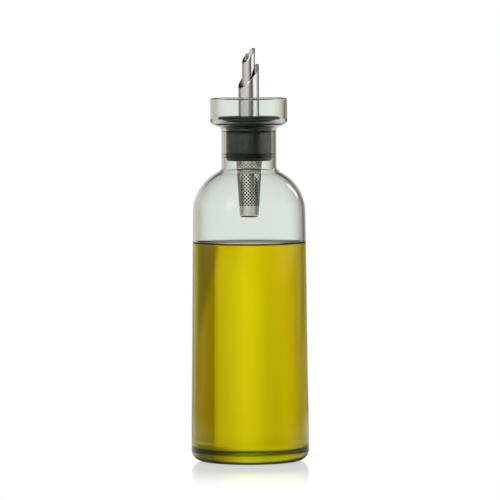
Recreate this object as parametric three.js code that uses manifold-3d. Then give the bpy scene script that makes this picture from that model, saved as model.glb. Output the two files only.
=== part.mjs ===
// Oil and vinegar dispenser: a tapered glass bottle with a cup-shaped mouth, closed by a stopper that carries
// two nested pouring tubes and, hanging into the bottle, a perforated sieve.
// Millimetres, +Z up, origin at the centre of the base. The tubes' slanted mouths rise towards +X.

import * as THREE from "three";
import { mergeVertices } from "three/addons/utils/BufferGeometryUtils.js";
import Module from "manifold-3d";

const wasm = await Module();
wasm.setup();

// Glass bottle, body
const BASE_RADIUS = 35.3; // widest, just above the foot
const SIDE_TOP_RADIUS = 33.65; // where the side runs into the shoulder
const SIDE_TOP = 148.2; // height of the shoulder's centre
const SHOULDER_RADIUS = 28; // round of the shoulder
const BODY_WALL = 1.9;
const BASE_THICKNESS = 4.2;
const FOOT_CORNER = 7; // outer round at the foot
const FLOOR_CORNER = 10; // inner round at the floor
const FOOT_RECESS_RADIUS = 21; // shallow recess under the base
const FOOT_RECESS_DEPTH = 1.4;
const FOOT_RECESS_SLOPE_WIDTH = 3;

// Glass bottle, neck and mouth cup
const NECK_WALL = 2.05;
const NECK_FILLET = 4; // hollow between shoulder and neck
const NECK_LENGTH = 20.8; // straight stretch of the neck
const FLARE_FILLET = 2.5; // hollow between neck and cup
const CUP_UNDERSIDE_SLOPE = THREE.MathUtils.degToRad(22);
const CUP_CORNER = 3; // outer round at the bottom of the cup
const CUP_SIDE_HEIGHT = 13.2; // from that round to the rim
const CUP_WALL = 1.9;
const CUP_SHELF_WIDTH = 6.75; // how much wider the cup is than the bore
const CUP_FLOOR_CORNER = 2.2; // inner round of the cup
const RIM_ROUND = 1;

// Stopper
const PLUG_LENGTH = 17.9; // from the throat to the stopper's underside
const PLUG_WALL = 2.95; // behind the seal grooves
const PLUG_CORNER = 1.2;
const SEAT_RING_WIDTH = 1.65; // ring under the dish that rests on the cup's floor
const DISH_CLEARANCE = 2.5; // round the dish, to the cup's side
const DISH_RISE = 5.8; // from the seat ring's face to the dish's edge
const DISH_SLOPE = THREE.MathUtils.degToRad(32); // of the dish's underside
const DISH_EDGE = 3.2; // thickness of the dish's rounded edge
const DISH_SINK = 1.2; // how far the dish hollows towards the tubes
const DISH_WEB = 1.8; // thickness under the hollow
const DISH_FLAT_WIDTH = 2; // flat ring round the tubes

// Lip seals
const SEAL_DEPTH = 1.2; // of the grooves in the plug
const SEAL_FOOT_MARGIN = 0.35; // foot beside the outermost lip
const LIP_REACH = 0.85; // from the plug's side to the bore
const LIP_ROOT = 0.7; // thickness at the plug's side
const LIP_TIP = 0.4; // thickness at the bore
const LIP_PITCH = 1.7; // between the lower seal's two lips
const SEAL_LAND = 0.2; // between the plug's corner and the lower groove
const UPPER_SEAL_DROP = 0.4; // from the throat to the upper lip

// Pouring tubes and the carrier that holds them in the stopper
const POUR_TUBE_RADIUS = 3.9;
const TUBE_WALL = 0.5;
const DRIP_GAP = 1.85; // ring gap between the tubes, where drips run back
const DRIP_TUBE_RISE = 25.3; // from the dish's hollow to the middle of the drip tube's mouth
const POUR_TUBE_RISE = 12.4; // from there to the middle of the pour tube's mouth
const POUR_TUBE_DROP = 5; // below the carrier's web
const MOUTH_ANGLE = THREE.MathUtils.degToRad(49); // slant of both mouths
const CARRIER_WEB = 2.5; // plate that centres the pour tube
const SOCKET_DEPTH = 9.6; // the carrier's socket for the sieve
const SOCKET_WALL = 1.3;
const DRAIN_RADIUS = 0.65;
const DRAIN_COUNT = 6;

// Sieve
const SIEVE_RADIUS = 7.75; // at its collar
const SIEVE_END_RADIUS = 5.6;
const SIEVE_WALL = 0.45;
const SIEVE_REACH = 33.6; // below the stopper
const SIEVE_CORNER = 1.3;
const SIEVE_BLANK_TOP = 1.4; // unpierced stretch under the stopper
const SIEVE_BLANK_END = 6.6; // unpierced stretch above the bottom
const SIEVE_HOLE_RADIUS = 0.55;
const SIEVE_ROW_PITCH = 1.5;
const SIEVE_HOLES_PER_ROW = 16; // alternate rows are turned by half a step

// Clearances
const FIT_GAP = 0.15; // pressed pieces
const RUN_GAP = 0.2; // pieces that turn or slide on each other
const SEAT_GAP = 0.3; // stopper to glass

// Fineness of the round shapes
const BOTTLE_SEGMENTS = 40;
const STOPPER_SEGMENTS = 40;
const TUBE_SEGMENTS = 32;
const FACETS_PER_HOLE = 2; // of the sieve, so that each hole lies in one facet
const HOLE_SIDES = 4;
const ARC_SAG = 0.08; // between a chord and its true round
const MERGE_DISTANCE = 1e-5;

// Sizes from the inside of the neck outwards
const dripTubeBore = POUR_TUBE_RADIUS + DRIP_GAP;
const dripTubeRadius = dripTubeBore + TUBE_WALL;
const socketRadius = SIEVE_RADIUS + RUN_GAP;
const carrierRadius = Math.max(socketRadius, dripTubeRadius + FIT_GAP) + SOCKET_WALL;
const plugBore = carrierRadius + FIT_GAP;
const grooveRadius = plugBore + PLUG_WALL;
const plugRadius = grooveRadius + SEAL_DEPTH;
const boreRadius = plugRadius + LIP_REACH;
const neckRadius = boreRadius + NECK_WALL;
const cupBore = boreRadius + CUP_SHELF_WIDTH;
const cupRadius = cupBore + CUP_WALL;

const RIGHT_ANGLE = Math.PI / 2;

/** A profile's point at a radius from the axis and a height. */
const at = (radius, height) => new THREE.Vector2(radius, height);

/** A profile's round, from one angle to another, in chords that stay close to it. */
function arc({ centre, radius }, from, to) {
  const chord = 2 * Math.acos(1 - ARC_SAG / radius);
  const chords = Math.max(2, Math.ceil(Math.abs(to - from) / chord));
  return Array.from({ length: chords + 1 }, (_, i) => {
    const angle = THREE.MathUtils.lerp(from, to, i / chords);
    return at(centre.x + radius * Math.cos(angle), centre.y + radius * Math.sin(angle));
  });
}

/** Angle of the outward normal of the straight line that touches two circles on their outer side. */
function tangentAngle(lower, upper) {
  const step = new THREE.Vector2().subVectors(upper.centre, lower.centre);
  return Math.asin((lower.radius - upper.radius) / step.length()) - Math.atan2(step.x, step.y);
}

/** The hollow that joins a shoulder to a neck: its centre and the angle at which it leaves the shoulder. */
function neckHollow(shoulder, radius, hollow) {
  const out = radius + hollow - shoulder.centre.x;
  const up = Math.sqrt((shoulder.radius + hollow) ** 2 - out ** 2);
  const centre = at(radius + hollow, shoulder.centre.y + up);
  return { centre, radius: hollow, angle: Math.atan2(up, out) };
}

// Bottle circles, outside and inside
const shoulderCentre = at(SIDE_TOP_RADIUS - SHOULDER_RADIUS, SIDE_TOP);
const shoulder = { centre: shoulderCentre, radius: SHOULDER_RADIUS };
const innerShoulder = { centre: shoulderCentre, radius: SHOULDER_RADIUS - BODY_WALL };
const foot = { centre: at(BASE_RADIUS - FOOT_CORNER, FOOT_CORNER), radius: FOOT_CORNER };
const innerFoot = {
  centre: at(BASE_RADIUS - BODY_WALL - FLOOR_CORNER, BASE_THICKNESS + FLOOR_CORNER),
  radius: FLOOR_CORNER,
};
const hollow = neckHollow(shoulder, neckRadius, NECK_FILLET);
const innerHollow = neckHollow(innerShoulder, boreRadius, NECK_FILLET + NECK_WALL);

// Heights of the neck and the cup
const neckTop = hollow.centre.y + NECK_LENGTH;
const flareTurn = 1 - Math.sin(CUP_UNDERSIDE_SLOPE);
const undersideWidth = cupRadius - neckRadius - (CUP_CORNER + FLARE_FILLET) * flareTurn;
const cupCornerHeight =
  neckTop +
  (FLARE_FILLET + CUP_CORNER) * Math.cos(CUP_UNDERSIDE_SLOPE) +
  undersideWidth * Math.tan(CUP_UNDERSIDE_SLOPE);
const rimHeight = cupCornerHeight + CUP_SIDE_HEIGHT;

// The glass keeps the neck's thickness round the flare and under the cup
const flare = { centre: at(neckRadius + FLARE_FILLET, neckTop), radius: FLARE_FILLET };
const throat = { centre: flare.centre, radius: FLARE_FILLET + NECK_WALL };
const throatHeight = neckTop;
const cupFloorStart = throat.centre.x - throat.radius * Math.sin(CUP_UNDERSIDE_SLOPE);

/** Height of the cup's floor at a radius: the throat's round, then the slope. */
function cupFloorHeight(radius) {
  const out = throat.centre.x - Math.min(radius, cupFloorStart);
  const rise = Math.max(radius - cupFloorStart, 0) * Math.tan(CUP_UNDERSIDE_SLOPE);
  return throatHeight + Math.sqrt(throat.radius ** 2 - out ** 2) + rise;
}

// Heights of the stopper: its seat ring stands on the cup's floor and carries the dish
const seatRadius = plugRadius + SEAT_RING_WIDTH;
const seatHeight = cupFloorHeight(seatRadius) + SEAT_GAP;
const dishEdge = DISH_EDGE / 2;
const dishEdgeCentre = at(cupBore - DISH_CLEARANCE - dishEdge, seatHeight + DISH_RISE - dishEdge);
const dishConeWidth = dishEdgeCentre.x + dishEdge * Math.sin(DISH_SLOPE) - seatRadius;
const dishConeRise = dishConeWidth * Math.tan(DISH_SLOPE);
const dishConeBottom = dishEdgeCentre.y - dishEdge * Math.cos(DISH_SLOPE) - dishConeRise;
const dishHollow = seatHeight + DISH_RISE - DISH_SINK;
const pocketTop = dishHollow - DISH_WEB;
const plugBottom = throatHeight - PLUG_LENGTH;

// Heights of the carrier, the tubes and the sieve
const carrierTop = pocketTop - FIT_GAP;
const webBottom = plugBottom + SOCKET_DEPTH;
const webTop = webBottom + CARRIER_WEB;
const dripMouth = dishHollow + DRIP_TUBE_RISE;
const pourMouth = dripMouth + POUR_TUBE_RISE;
const sieveTop = webBottom - SEAT_GAP;
const sieveBottom = plugBottom - SIEVE_REACH;

/** A turned solid about +Z from a half profile that runs up its outside and down its inside. */
function turned(profile, segments) {
  const points = profile.filter((point, i) => i === 0 || point.distanceTo(profile[i - 1]) > MERGE_DISTANCE);
  return new THREE.LatheGeometry(points, segments).rotateX(RIGHT_ANGLE);
}

/** A turned solid with a hole along its axis, whose profile closes on itself. */
const turnedRing = (profile, segments) => turned([...profile, profile[0]], segments);

/** A closed geometry as a solid that can be joined and cut. */
function solidFrom(geometry) {
  const bare = geometry.clone().deleteAttribute("normal").deleteAttribute("uv");
  const merged = mergeVertices(bare, MERGE_DISTANCE);
  const corners = merged.index.array;
  const triVerts = [];
  for (let i = 0; i < corners.length; i += 3) {
    const [a, b, c] = corners.slice(i, i + 3);
    // A profile that ends on the axis leaves triangles with no area there
    if (a !== b && b !== c && c !== a) triVerts.push(a, b, c);
  }
  const vertProperties = merged.attributes.position.array;
  return new wasm.Manifold(new wasm.Mesh({ numProp: 3, vertProperties, triVerts: new Uint32Array(triVerts) }));
}

/** The geometry of a solid that was joined or cut. */
function geometryFrom(solid) {
  const { vertProperties, triVerts } = solid.getMesh();
  const geometry = new THREE.BufferGeometry();
  geometry.setAttribute("position", new THREE.BufferAttribute(vertProperties, 3));
  geometry.setIndex(new THREE.BufferAttribute(triVerts, 1));
  geometry.computeVertexNormals();
  return geometry;
}

/** Cuts every tool out of a geometry. */
function cut(geometry, tools) {
  return geometryFrom(tools.reduce((solid, tool) => solid.subtract(solidFrom(tool)), solidFrom(geometry)));
}

/** The blown glass: foot, side, shoulder, neck and mouth cup in one wall. */
function glassBottle() {
  const sideAngle = tangentAngle(foot, shoulder);
  const innerSideAngle = tangentAngle(innerFoot, innerShoulder);
  const cupCorner = { centre: at(cupRadius - CUP_CORNER, cupCornerHeight), radius: CUP_CORNER };
  const rim = { centre: at(cupRadius - RIM_ROUND, rimHeight - RIM_ROUND), radius: RIM_ROUND };
  const innerRim = { centre: at(cupBore + RIM_ROUND, rimHeight - RIM_ROUND), radius: RIM_ROUND };
  const floorTurn = Math.tan((RIGHT_ANGLE - CUP_UNDERSIDE_SLOPE) / 2);
  const floorCorner = {
    centre: at(cupBore - CUP_FLOOR_CORNER, cupFloorHeight(cupBore) + CUP_FLOOR_CORNER * floorTurn),
    radius: CUP_FLOOR_CORNER,
  };
  const outside = [
    at(0, FOOT_RECESS_DEPTH),
    at(FOOT_RECESS_RADIUS - FOOT_RECESS_SLOPE_WIDTH, FOOT_RECESS_DEPTH),
    at(FOOT_RECESS_RADIUS, 0),
    ...arc(foot, -RIGHT_ANGLE, sideAngle),
    ...arc(shoulder, sideAngle, hollow.angle),
    ...arc(hollow, hollow.angle + Math.PI, Math.PI),
    ...arc(flare, Math.PI, RIGHT_ANGLE + CUP_UNDERSIDE_SLOPE),
    ...arc(cupCorner, CUP_UNDERSIDE_SLOPE - RIGHT_ANGLE, 0),
    ...arc(rim, 0, RIGHT_ANGLE),
  ];
  const inside = [
    ...arc(innerRim, RIGHT_ANGLE, Math.PI),
    ...arc(floorCorner, 0, CUP_UNDERSIDE_SLOPE - RIGHT_ANGLE),
    ...arc(throat, RIGHT_ANGLE + CUP_UNDERSIDE_SLOPE, Math.PI),
    ...arc(innerHollow, Math.PI, innerHollow.angle + Math.PI),
    ...arc(innerShoulder, innerHollow.angle, innerSideAngle),
    ...arc(innerFoot, innerSideAngle, -RIGHT_ANGLE),
    at(0, BASE_THICKNESS),
  ];
  return turned([...outside, ...inside], BOTTLE_SEGMENTS);
}

// Seal grooves: the lips at their heights, and the foot that holds them
const lowerFootHeight = LIP_PITCH + LIP_ROOT + 2 * SEAL_FOOT_MARGIN;
const lowerFootBottom = plugBottom + PLUG_CORNER + SEAL_LAND + RUN_GAP;
const lowerLip = lowerFootBottom + SEAL_FOOT_MARGIN + LIP_ROOT / 2;
const upperLip = throatHeight - UPPER_SEAL_DROP;
const upperFootHeight = LIP_ROOT + 2 * SEAL_FOOT_MARGIN;
const upperFootBottom = upperLip - upperFootHeight / 2;

/** A seal's groove, in a profile that runs up the plug's side. */
function groove(footBottom, footHeight) {
  const low = footBottom - RUN_GAP;
  const high = footBottom + footHeight + RUN_GAP;
  return [at(plugRadius, low), at(grooveRadius, low), at(grooveRadius, high), at(plugRadius, high)];
}

/** The stopper: a plug for the neck under a shallow dish that sits in the mouth cup. */
function stopperBody() {
  const tubeHole = dripTubeRadius + FIT_GAP;
  const corner = { centre: at(plugRadius - PLUG_CORNER, plugBottom + PLUG_CORNER), radius: PLUG_CORNER };
  const edge = { centre: dishEdgeCentre, radius: dishEdge };
  const profile = [
    at(plugBore, plugBottom),
    ...arc(corner, -RIGHT_ANGLE, 0),
    ...groove(lowerFootBottom, lowerFootHeight),
    ...groove(upperFootBottom, upperFootHeight),
    at(plugRadius, seatHeight),
    at(seatRadius, seatHeight),
    at(seatRadius, dishConeBottom),
    ...arc(edge, DISH_SLOPE - RIGHT_ANGLE, RIGHT_ANGLE),
    at(tubeHole + DISH_FLAT_WIDTH, dishHollow),
    at(tubeHole, dishHollow),
    at(tubeHole, pocketTop),
    at(plugBore, pocketTop),
  ];
  return turnedRing(profile, STOPPER_SEGMENTS);
}

/** A lip seal: a foot that fills its groove, and thin lips that reach the bore at the given heights. */
function lipSeal(footBottom, footHeight, lips) {
  const inner = grooveRadius + RUN_GAP;
  const reach = boreRadius - RUN_GAP;
  const profile = [
    at(inner, footBottom),
    at(plugRadius, footBottom),
    ...lips.flatMap((lip) => [
      at(plugRadius, lip - LIP_ROOT / 2),
      at(reach, lip - LIP_TIP / 2),
      at(reach, lip + LIP_TIP / 2),
      at(plugRadius, lip + LIP_ROOT / 2),
    ]),
    at(plugRadius, footBottom + footHeight),
    at(inner, footBottom + footHeight),
  ];
  return turnedRing(profile, STOPPER_SEGMENTS);
}

/** The carrier in the stopper: a tube seat above, a web with drain holes, and the sieve's socket below. */
function tubeCarrier() {
  const tubeSeat = dripTubeRadius + FIT_GAP;
  const pourHole = POUR_TUBE_RADIUS + FIT_GAP;
  const profile = [
    at(socketRadius, plugBottom),
    at(carrierRadius, plugBottom),
    at(carrierRadius, carrierTop),
    at(tubeSeat, carrierTop),
    at(tubeSeat, webTop),
    at(pourHole, webTop),
    at(pourHole, webBottom),
    at(socketRadius, webBottom),
  ];
  const drains = Array.from({ length: DRAIN_COUNT }, (_, i) =>
    new THREE.CylinderGeometry(DRAIN_RADIUS, DRAIN_RADIUS, 2 * CARRIER_WEB, HOLE_SIDES)
      .rotateX(RIGHT_ANGLE)
      .translate(POUR_TUBE_RADIUS + DRIP_GAP / 2, 0, (webBottom + webTop) / 2)
      .rotateZ((2 * Math.PI * i) / DRAIN_COUNT),
  );
  return cut(turnedRing(profile, STOPPER_SEGMENTS), drains);
}

/** A tube from a height up to a slanted mouth whose middle is at another height. */
function slantedTube(radius, bottom, mouth) {
  const overshoot = 2 * radius * Math.tan(MOUTH_ANGLE);
  const profile = [
    at(radius - TUBE_WALL, bottom),
    at(radius, bottom),
    at(radius, mouth + overshoot),
    at(radius - TUBE_WALL, mouth + overshoot),
  ];
  const size = 4 * overshoot;
  const slant = new THREE.BoxGeometry(size, size, size)
    .translate(0, 0, size / 2)
    .rotateY(-MOUTH_ANGLE)
    .translate(0, 0, mouth);
  return cut(turnedRing(profile, TUBE_SEGMENTS), [slant]);
}

/** Outer radius of the sieve's taper at a height. */
function sieveRadiusAt(height) {
  const share = (height - sieveBottom) / (plugBottom - sieveBottom);
  return SIEVE_END_RADIUS + (SIEVE_RADIUS - SIEVE_END_RADIUS) * share;
}

/** The sieve: a straight collar in the carrier's socket, and a pierced taper with a closed bottom. */
function sieve() {
  const cornerHeight = sieveBottom + SIEVE_CORNER;
  const centre = at(sieveRadiusAt(cornerHeight) - SIEVE_CORNER, cornerHeight);
  const profile = [
    at(0, sieveBottom),
    ...arc({ centre, radius: SIEVE_CORNER }, -RIGHT_ANGLE, 0),
    at(SIEVE_RADIUS, plugBottom),
    at(SIEVE_RADIUS, sieveTop),
    at(SIEVE_RADIUS - SIEVE_WALL, sieveTop),
    at(SIEVE_RADIUS - SIEVE_WALL, plugBottom),
    ...arc({ centre, radius: SIEVE_CORNER - SIEVE_WALL }, 0, -RIGHT_ANGLE),
    at(0, sieveBottom + SIEVE_WALL),
  ];
  const facets = FACETS_PER_HOLE * SIEVE_HOLES_PER_ROW;
  const low = sieveBottom + SIEVE_BLANK_END;
  const high = plugBottom - SIEVE_BLANK_TOP;
  const rows = Math.floor((high - low) / SIEVE_ROW_PITCH) + 1;
  const holes = [];
  for (let row = 0; row < rows; row++) {
    const height = high - row * SIEVE_ROW_PITCH;
    for (let i = 0; i < SIEVE_HOLES_PER_ROW; i++) {
      const facet = i * FACETS_PER_HOLE + (row % FACETS_PER_HOLE) + 0.5;
      holes.push(
        new THREE.CylinderGeometry(SIEVE_HOLE_RADIUS, SIEVE_HOLE_RADIUS, 4 * SIEVE_WALL, HOLE_SIDES)
          .rotateZ(RIGHT_ANGLE)
          .translate(sieveRadiusAt(height) - SIEVE_WALL / 2, 0, height)
          .rotateZ((2 * Math.PI * facet) / facets),
      );
    }
  }
  return cut(turned(profile, facets), holes);
}

// Materials
const clearGlass = new THREE.MeshStandardMaterial({
  color: 0xdfe8e4,
  roughness: 0.03,
  metalness: 0,
  transparent: true,
  opacity: 0.35,
});
const blackPlastic = new THREE.MeshStandardMaterial({ color: 0x1c1c1e, roughness: 0.45, metalness: 0 });
const blackSilicone = new THREE.MeshStandardMaterial({ color: 0x141415, roughness: 0.7, metalness: 0 });
const polishedSteel = new THREE.MeshStandardMaterial({ color: 0xc4c2be, roughness: 0.2, metalness: 1 });

/** A named piece of the dispenser. */
function piece(name, geometry, material) {
  const mesh = new THREE.Mesh(geometry, material);
  mesh.name = name;
  return mesh;
}

const seals = new THREE.Group().add(
  piece("upper_lip_seal", lipSeal(upperFootBottom, upperFootHeight, [upperLip]), blackSilicone),
  piece(
    "lower_lip_seal",
    lipSeal(lowerFootBottom, lowerFootHeight, [lowerLip, lowerLip + LIP_PITCH]),
    blackSilicone,
  ),
);

const stopper = new THREE.Group().add(
  piece("stopper_body", stopperBody(), blackPlastic),
  piece("tube_carrier", tubeCarrier(), blackPlastic),
  piece("drip_tube", slantedTube(dripTubeRadius, webTop + FIT_GAP, dripMouth), polishedSteel),
  piece("pour_tube", slantedTube(POUR_TUBE_RADIUS, webBottom - POUR_TUBE_DROP, pourMouth), polishedSteel),
  piece("sieve", sieve(), polishedSteel),
);

const dispenser = new THREE.Group().add(
  piece("glass_bottle", glassBottle(), clearGlass),
  seals,
  stopper,
);
dispenser.name = "oil_and_vinegar_dispenser";

export default dispenser;
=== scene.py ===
"""Looks of an oil and vinegar dispenser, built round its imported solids.

The bottle, stopper, seals, tubes and sieve are turned again with fine rounds, the bottle is filled with oil, and
the whole stands on a pale polished plate in a soft studio.
"""

from __future__ import annotations

import logging
import math
from dataclasses import dataclass
from enum import Enum
from typing import Callable, NamedTuple, Sequence

import bpy
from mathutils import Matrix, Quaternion, Vector


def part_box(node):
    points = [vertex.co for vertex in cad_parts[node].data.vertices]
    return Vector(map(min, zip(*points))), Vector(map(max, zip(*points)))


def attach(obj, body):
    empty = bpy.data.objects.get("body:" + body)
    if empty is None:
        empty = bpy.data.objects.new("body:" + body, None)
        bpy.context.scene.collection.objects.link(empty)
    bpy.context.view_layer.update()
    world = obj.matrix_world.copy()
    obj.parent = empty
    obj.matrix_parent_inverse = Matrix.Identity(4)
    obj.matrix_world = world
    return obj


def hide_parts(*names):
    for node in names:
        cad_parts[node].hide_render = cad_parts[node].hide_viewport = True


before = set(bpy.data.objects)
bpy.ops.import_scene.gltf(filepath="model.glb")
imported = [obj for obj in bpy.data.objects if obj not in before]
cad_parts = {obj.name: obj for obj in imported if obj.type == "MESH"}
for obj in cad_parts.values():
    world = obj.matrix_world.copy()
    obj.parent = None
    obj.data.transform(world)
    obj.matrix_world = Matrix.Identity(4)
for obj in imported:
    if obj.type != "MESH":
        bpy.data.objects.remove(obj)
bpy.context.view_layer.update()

log = logging.getLogger("dispenser")

MM = 0.001
QUARTER = math.pi / 2
WHITE = (1, 1, 1, 1)
WETTED = "wetted"

# Two points of a profile that are closer than this are one, in millimetres.
SAME_POINT = 1e-4
# Edges sharper than this stay sharp in smooth shading.
SHARP_ANGLE = math.radians(32)
# Gaps of a seal to the glass, a seal to its groove, and pieces that are pushed together, in millimetres.
SEAL_GAP, GROOVE_GAP, FIT_GAP = 0.2, 0.2, 0.15
GROOVE_DEPTH = 1.2
GLASS_IOR, OIL_IOR = 1.5, 1.47
# Noise stays mostly within this span.
NOISE_SPAN = (0.3, 0.7)
NOISE_ROUGHNESS = 0.55
# Share of the blue that a warm surface takes away, for each share of the green.
BLUE_LOSS = 1.5
# Lowest that a table's edge can be, in degrees below the horizon.
DEEPEST = 10.0

Colour = tuple[float, float, float, float]
Triple = tuple[float, float, float]
Span = tuple[float, float]


class ProfilePoint(NamedTuple):
    """A point of a turned half profile, in millimetres.

    Attributes:
        radius: distance from the axis.
        height: height above the base.
        slant: rise for each millimetre towards +X, for a slanted mouth.
    """

    radius: float
    height: float
    slant: float = 0.0


class Round(NamedTuple):
    """A circle that a profile follows for a while, in millimetres."""

    radius: float
    height: float
    size: float

    def at(self, angle: float) -> ProfilePoint:
        """The point at an angle in radians, 0 pointing away from the axis and a quarter turn pointing up."""
        return ProfilePoint(self.radius + self.size * math.cos(angle), self.height + self.size * math.sin(angle))


Profile = list[ProfilePoint]


class Fineness(Enum):
    """How many sides a turned piece has."""

    GLASS = 256
    STOPPER = 160
    TUBE = 128
    SIEVE = 96


def arc(circle: Round, start: float, end: float, step: float) -> Profile:
    """Points along a round from one angle in radians to another, at most a step of degrees apart."""
    count = max(2, math.ceil(math.degrees(abs(end - start)) / step))
    return [circle.at(start + (end - start) * i / count) for i in range(count + 1)]


def tangent_angle(lower: Round, upper: Round) -> float:
    """Angle of the outward normal of the straight line that touches two rounds on their outer side."""
    across, up = upper.radius - lower.radius, upper.height - lower.height
    return math.asin((lower.size - upper.size) / math.hypot(across, up)) - math.atan2(across, up)


def neck_hollow(shoulder: Round, radius: float, hollow: float) -> tuple[Round, float]:
    """Joins a shoulder to a neck.

    Args:
        shoulder: the shoulder's round.
        radius: the neck's radius.
        hollow: size of the hollow between them.

    Returns:
        The hollow's round, and the angle at which it leaves the shoulder.
    """
    out = radius + hollow - shoulder.radius
    up = math.sqrt((shoulder.size + hollow) ** 2 - out**2)
    return Round(radius + hollow, shoulder.height + up, hollow), math.atan2(up, out)


def with_supports(profile: Profile, shortest: float = 1.5, longest: float = 12.0, edge: float = 0.25) -> Profile:
    """Adds points on straight stretches, so that smooth shading stays flat along them.

    Args:
        profile: the half profile.
        shortest: shortest stretch that gets points, in millimetres.
        longest: longest stretch left whole, in millimetres.
        edge: distance of the outermost added points from the stretch's ends, in millimetres.

    Returns:
        The profile with the added points.
    """
    out = [profile[0]]
    for a, b in zip(profile, profile[1:]):
        length = math.hypot(b.radius - a.radius, b.height - a.height)
        if length < SAME_POINT:
            continue
        if length > shortest:
            inner = max(1, math.ceil((length - 2 * edge) / longest))
            shares = [(edge + (length - 2 * edge) * i / inner) / length for i in range(inner + 1)]
            out += [ProfilePoint(*(u + (v - u) * s for u, v in zip(a, b))) for s in shares]
        out.append(b)
    return out


def turned(name: str, profile: Profile, fineness: Fineness, ring: bool = False) -> bpy.types.Object:
    """Turns a half profile about +Z into a closed mesh.

    Args:
        name: name of the piece.
        profile: points that run up the outside and down the inside, in millimetres.
        fineness: number of sides.
        ring: whether the profile closes on itself, with a hole along the axis.

    Returns:
        The piece, linked to the scene, at the origin.
    """
    points = with_supports(profile + profile[:1] if ring else profile)
    if ring:
        points = points[:-1]
    sides = fineness.value
    vertices: list[Vector] = []
    loops: list[list[int]] = []
    for point in points:
        start = len(vertices)
        if point.radius < SAME_POINT:
            vertices.append(Vector((0, 0, point.height * MM)))
            loops.append([start] * sides)
            continue
        for i in range(sides):
            angle = math.tau * i / sides
            x, y = point.radius * math.cos(angle), point.radius * math.sin(angle)
            vertices.append(Vector((x, y, point.height + point.slant * x)) * MM)
        loops.append(list(range(start, start + sides)))
    if ring:
        loops.append(loops[0])
    faces = []
    for low, high in zip(loops, loops[1:]):
        for i in range(sides):
            j = (i + 1) % sides
            corners = [low[i], low[j], high[j], high[i]]
            faces.append([c for k, c in enumerate(corners) if c != corners[k - 1]])
    mesh = bpy.data.meshes.new(name)
    mesh.from_pydata(vertices, [], faces)
    return placed(name, mesh)


def linked(name: str, data: bpy.types.ID) -> bpy.types.Object:
    """Makes an object of a mesh, a lamp or a camera and links it to the scene.

    Args:
        name: name of the object.
        data: the mesh, lamp or camera.

    Returns:
        The object.
    """
    thing = bpy.data.objects.new(name, data)
    bpy.context.scene.collection.objects.link(thing)
    return thing


def placed(name: str, mesh: bpy.types.Mesh) -> bpy.types.Object:
    """Shades a mesh smooth between its sharp edges and links it to the scene as a piece.

    Args:
        name: name of the piece.
        mesh: its mesh.

    Returns:
        The piece.
    """
    mesh.polygons.foreach_set("use_smooth", [True] * len(mesh.polygons))
    mesh.set_sharp_from_angle(angle=SHARP_ANGLE)
    mesh.validate()
    return linked(name, mesh)


def dress(piece: bpy.types.Object, material: bpy.types.Material) -> None:
    """Gives a piece its one material."""
    piece.data.materials.clear()
    piece.data.materials.append(material)


def mark_wetted(piece: bpy.types.Object, touches: Callable[[bpy.types.MeshPolygon], bool]) -> None:
    """Marks the faces of the bottle or its filling where glass and oil touch, as a test of each face says."""
    mark = piece.data.attributes.new(WETTED, "FLOAT", "FACE")
    mark.data.foreach_set("value", [float(touches(face)) for face in piece.data.polygons])


class Bench:
    """A node tree under construction."""

    def __init__(self, tree: bpy.types.NodeTree) -> None:
        """Takes the node tree to work on."""
        self.tree = tree

    def add(self, kind: str, **properties: object) -> bpy.types.Node:
        """Adds a node.

        Args:
            kind: the node's type, such as ShaderNodeTexNoise.
            **properties: values of the node's own properties.

        Returns:
            The node.
        """
        node = self.tree.nodes.new(kind)
        for key, value in properties.items():
            setattr(node, key, value)
        return node

    def join(self, value: object, socket: bpy.types.NodeSocket) -> None:
        """Links an output to an input, or gives the input a plain value.

        Args:
            value: the output or the plain value.
            socket: the input.
        """
        if isinstance(value, bpy.types.NodeSocket):
            self.tree.links.new(value, socket)
        else:
            socket.default_value = value

    def feed(self, node: bpy.types.Node, **inputs: object) -> bpy.types.Node:
        """Sets or links a node's inputs.

        Args:
            node: the node.
            **inputs: outputs or plain values by input name, with spaces as underscores.

        Returns:
            The node.
        """
        for key, value in inputs.items():
            self.join(value, node.inputs[key.replace("_", " ")])
        return node

    def wire(self, node: bpy.types.Node, *values: object) -> bpy.types.Node:
        """Sets or links a node's inputs in their order.

        Args:
            node: the node.
            *values: outputs or plain values.

        Returns:
            The node.
        """
        for value, socket in zip(values, node.inputs):
            self.join(value, socket)
        return node

    def calc(self, operation: str, *values: object) -> bpy.types.NodeSocket:
        """The result of an operation, such as MULTIPLY, on outputs and plain numbers."""
        return self.wire(self.add("ShaderNodeMath", operation=operation), *values).outputs[0]

    def stretch(self, value: bpy.types.NodeSocket, source: Span, target: Span) -> bpy.types.NodeSocket:
        """Maps a value from one range to another with soft ends.

        Args:
            value: the value.
            source: the range it comes from.
            target: the range it goes to.

        Returns:
            The mapped value.
        """
        node = self.add("ShaderNodeMapRange", interpolation_type="SMOOTHSTEP")
        self.feed(node, Value=value, From_Min=source[0], From_Max=source[1], To_Min=target[0], To_Max=target[1])
        return node.outputs["Result"]

    def blend(self, share: bpy.types.NodeSocket, first: object, second: object) -> bpy.types.NodeSocket:
        """Mixes two colours.

        Args:
            share: how much of the second colour there is.
            first: an output or a plain colour.
            second: an output or a plain colour.

        Returns:
            The mixed colour.
        """
        node = self.feed(self.add("ShaderNodeMix", data_type="RGBA"), Factor=share)
        for value, socket in zip((first, second), (socket for socket in node.inputs if socket.type == "RGBA")):
            self.join(value, socket)
        return next(socket for socket in node.outputs if socket.type == "RGBA")

    def through_pieces(self) -> bpy.types.NodeSocket:
        """1 for what is seen in a shiny piece or through a clear one, and 0 for the rest."""
        path = self.add("ShaderNodeLightPath").outputs
        return self.calc("MAXIMUM", path["Is Glossy Ray"], path["Is Transmission Ray"])


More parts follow.
